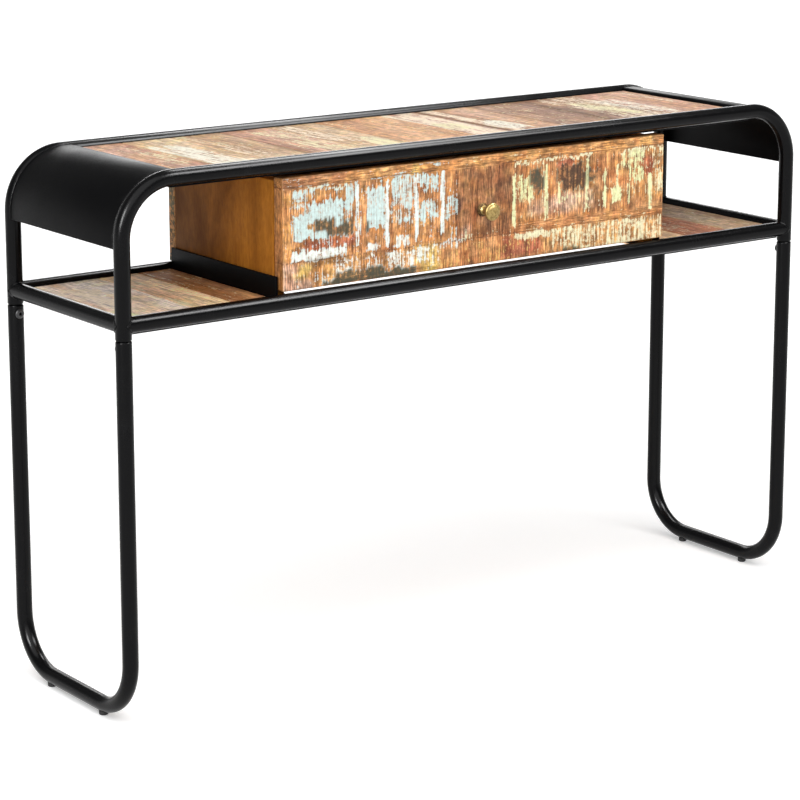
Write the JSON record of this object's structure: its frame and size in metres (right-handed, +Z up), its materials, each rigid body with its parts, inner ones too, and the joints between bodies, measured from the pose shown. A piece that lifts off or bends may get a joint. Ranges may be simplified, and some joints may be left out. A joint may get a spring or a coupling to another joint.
{
  "type": "console table",
  "caption": "Narrow console table: bent black tube frame with rounded ends, plank top, open shelf and a central drawer.",
  "frame": {"origin": "on the floor, under the middle of the overall box, knob included", "axes": "+X along the table to its right end seen from the front, +Y to the back, +Z up; the drawer opens towards -Y"},
  "size_m": [1.2, 0.3262, 0.75],
  "materials": {
    "frame_steel": "black satin powder coat",
    "sheet_steel": "black satin powder coat on curved sheet",
    "screw_steel": "blackened button-head screws",
    "glide_plastic": "black matte plastic",
    "top_wood": "reclaimed planks, sanded and lacquered, with worn cream and pale green paint",
    "shelf_wood": "reclaimed planks, sanded and lacquered, pinkish brown",
    "housing_wood": "plain warm brown lacquered wood",
    "back_wood": "reclaimed board with dark green paint traces",
    "drawer_paint": "reclaimed wood with heavily worn ochre, cream, pale blue and green paint",
    "drawer_wood": "plain wood inside the drawer",
    "knob_brass": "aged olive brass",
    "rosette_brass": "dark aged brass"
  },
  "bodies": {
    "frame": {"front_hoop": "frame_steel", "rear_hoop": "frame_steel", "front_lower_rail": "frame_steel", "rear_lower_rail": "frame_steel", "left_lower_rail": "frame_steel", "right_lower_rail": "frame_steel", "front_top_ledge": "frame_steel", "rear_top_ledge": "frame_steel", "front_shelf_ledge": "frame_steel", "rear_shelf_ledge": "frame_steel", "left_drawer_angle": "frame_steel", "right_drawer_angle": "frame_steel", "left_leg_loop": "frame_steel", "right_leg_loop": "frame_steel", "front_left_spigot": "frame_steel", "front_right_spigot": "frame_steel", "rear_left_spigot": "frame_steel", "rear_right_spigot": "frame_steel", "left_end_sheet": "sheet_steel", "right_end_sheet": "sheet_steel", "front_left_leg_screw": "screw_steel", "front_right_leg_screw": "screw_steel", "rear_left_leg_screw": "screw_steel", "rear_right_leg_screw": "screw_steel", "front_left_glide": "glide_plastic", "front_right_glide": "glide_plastic", "rear_left_glide": "glide_plastic", "rear_right_glide": "glide_plastic", "top_plank_1": "top_wood", "top_plank_2": "top_wood", "top_plank_3": "top_wood", "top_plank_4": "top_wood", "top_plank_5": "top_wood", "top_plank_6": "top_wood", "top_plank_7": "top_wood", "top_plank_8": "top_wood", "top_plank_9": "top_wood", "top_plank_10": "top_wood", "top_plank_11": "top_wood", "left_shelf_plank_1": "shelf_wood", "left_shelf_plank_2": "shelf_wood", "left_shelf_plank_3": "shelf_wood", "right_shelf_plank_1": "shelf_wood", "right_shelf_plank_2": "shelf_wood", "right_shelf_plank_3": "shelf_wood", "housing_left_side": "housing_wood", "housing_right_side": "housing_wood", "left_drawer_runner": "housing_wood", "right_drawer_runner": "housing_wood", "housing_back": "back_wood"},
    "drawer": {"drawer_front": "drawer_paint", "drawer_left_side": "drawer_wood", "drawer_right_side": "drawer_wood", "drawer_back": "drawer_wood", "drawer_floor": "drawer_wood", "knob": "knob_brass", "knob_rosette": "rosette_brass", "knob_screw": "screw_steel"}
  },
  "joints": [
    {"name": "drawer_slide", "type": "slide", "parent": "frame", "child": "drawer", "axis": [0, -1, 0], "range_m": [0, 0.185]}
  ]
}
